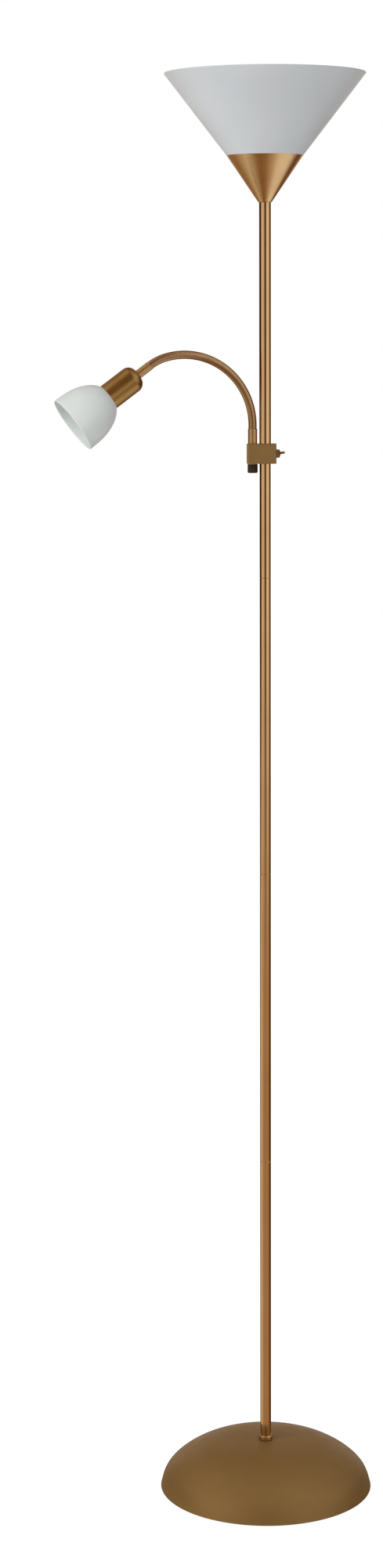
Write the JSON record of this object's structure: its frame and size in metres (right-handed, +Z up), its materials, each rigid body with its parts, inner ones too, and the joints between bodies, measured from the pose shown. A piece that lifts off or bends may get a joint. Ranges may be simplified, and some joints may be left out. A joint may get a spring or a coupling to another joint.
{
  "type": "torchiere floor lamp with reading light",
  "caption": "Tall floor lamp: domed round base, slim sectional pole with a switch block, upward glass cone light on top and a small glass reading light on a bendable swivelling neck.",
  "frame": {"origin": "centre of the base pad's underside, on the floor under the pole's axis", "axes": "+Z up the pole, -X towards the arm's side of the switch block, -Y to the front of the block"},
  "size_m": [0.394, 0.274, 1.8],
  "materials": {
    "bronze_base": "satin antique bronze lacquer",
    "brass_tube": "satin antique brass plated steel",
    "cast_weight": "raw cast, black dip paint",
    "pad": "matte foam rubber",
    "zinc_hardware": "zinc plated",
    "switch_metal": "antique brass plated",
    "black_plastic": "moulded, fine texture",
    "fibre": "pale fibre",
    "white_plastic": "moulded thermoset",
    "opal_glass": "satin opal white",
    "bulb_glass": "frosted white",
    "bulb_metal": "screw cap"
  },
  "bodies": {
    "stand": {"base_shell": "bronze_base", "switch_block": "bronze_base", "block_cover": "bronze_base", "pole_tube_1": "brass_tube", "pole_tube_2": "brass_tube", "pole_tube_3": "brass_tube", "pole_tube_4": "brass_tube", "upper_pole_tube": "brass_tube", "pole_collar": "brass_tube", "uplight_bowl": "brass_tube", "base_weight": "cast_weight", "base_pad": "pad", "base_spacer": "zinc_hardware", "base_washer": "zinc_hardware", "base_nut": "zinc_hardware", "base_nipple": "zinc_hardware", "pole_inserts": "zinc_hardware", "upper_tube_inserts": "zinc_hardware", "pole_studs": "zinc_hardware", "block_studs": "zinc_hardware", "cover_screws": "zinc_hardware", "bowl_nut": "zinc_hardware", "uplight_nipple": "zinc_hardware", "switch_nut": "switch_metal", "switch_washer": "switch_metal", "cord_inlet_bush": "black_plastic", "switch_body": "black_plastic", "wire_connector": "white_plastic", "uplight_lampholder": "white_plastic", "uplight_shade_ring": "white_plastic", "uplight_shade": "opal_glass", "uplight_bulb_glass": "bulb_glass", "uplight_bulb_cap": "bulb_metal"},
    "toggle": {"switch_lever": "switch_metal"},
    "arm": {"arm_stem": "brass_tube", "swivel_shaft": "brass_tube", "upper_swivel_washer": "brass_tube", "lower_swivel_washer": "fibre", "swivel_cap": "black_plastic", "neck_root": "brass_tube"},
    "neck_1": {"neck_link_1": "brass_tube"},
    "neck_2": {"neck_link_2": "brass_tube"},
    "neck_3": {"neck_link_3": "brass_tube"},
    "neck_4": {"neck_link_4": "brass_tube"},
    "neck_5": {"neck_link_5": "brass_tube"},
    "neck_6": {"neck_link_6": "brass_tube"},
    "neck_7": {"neck_link_7": "brass_tube"},
    "head": {"neck_tip": "brass_tube", "head_ferrule": "brass_tube", "head_nipple": "zinc_hardware", "head_nut": "zinc_hardware", "head_cup": "brass_tube", "reading_lampholder": "white_plastic", "reading_shade": "opal_glass", "reading_shade_ring": "white_plastic", "reading_bulb_glass": "bulb_glass", "reading_bulb_cap": "bulb_metal"}
  },
  "joints": [
    {"name": "switch_toggle", "type": "hinge", "parent": "stand", "child": "toggle", "pos_m": [0.0157, 0, 1.3409], "axis": [0, 1, 0], "range_deg": [0, 20]},
    {"name": "arm_swivel", "type": "hinge", "parent": "stand", "child": "arm", "pos_m": [-0.0155, 0, 1.3409], "axis": [0, 0, 1], "range_deg": [-114, 82]},
    {"name": "neck_bend_1", "type": "hinge", "parent": "arm", "child": "neck_1", "pos_m": [-0.0155, 0, 1.38687], "axis": [0.2756, -0.9613, 0], "range_deg": [-9, 9]},
    {"name": "neck_bend_2", "type": "hinge", "parent": "neck_1", "child": "neck_2", "pos_m": [-0.02121, -0.00164, 1.40902], "axis": [0.2756, -0.9613, 0], "range_deg": [-9, 9]},
    {"name": "neck_bend_3", "type": "hinge", "parent": "neck_2", "child": "neck_3", "pos_m": [-0.03223, -0.0048, 1.42888], "axis": [0.2756, -0.9613, 0], "range_deg": [-9, 9]},
    {"name": "neck_bend_4", "type": "hinge", "parent": "neck_3", "child": "neck_4", "pos_m": [-0.04782, -0.00927, 1.4451], "axis": [0.2756, -0.9613, 0], "range_deg": [-9, 9]},
    {"name": "neck_bend_5", "type": "hinge", "parent": "neck_4", "child": "neck_5", "pos_m": [-0.06691, -0.01474, 1.45656], "axis": [0.2756, -0.9613, 0], "range_deg": [-9, 9]},
    {"name": "neck_bend_6", "type": "hinge", "parent": "neck_5", "child": "neck_6", "pos_m": [-0.0882, -0.02085, 1.4625], "axis": [0.2756, -0.9613, 0], "range_deg": [-9, 9]},
    {"name": "neck_bend_7", "type": "hinge", "parent": "neck_6", "child": "neck_7", "pos_m": [-0.11025, -0.02717, 1.4625], "axis": [0.2756, -0.9613, 0], "range_deg": [-9, 9]},
    {"name": "neck_bend_8", "type": "hinge", "parent": "neck_7", "child": "head", "pos_m": [-0.13154, -0.03327, 1.45656], "axis": [0.2756, -0.9613, 0], "range_deg": [-9, 9]}
  ],
  "couplings": [
    {"joint": "neck_bend_2", "follows": "neck_bend_1", "ratio": 1},
    {"joint": "neck_bend_3", "follows": "neck_bend_1", "ratio": 1},
    {"joint": "neck_bend_4", "follows": "neck_bend_1", "ratio": 1},
    {"joint": "neck_bend_6", "follows": "neck_bend_5", "ratio": 1},
    {"joint": "neck_bend_7", "follows": "neck_bend_5", "ratio": 1},
    {"joint": "neck_bend_8", "follows": "neck_bend_5", "ratio": 1}
  ]
}
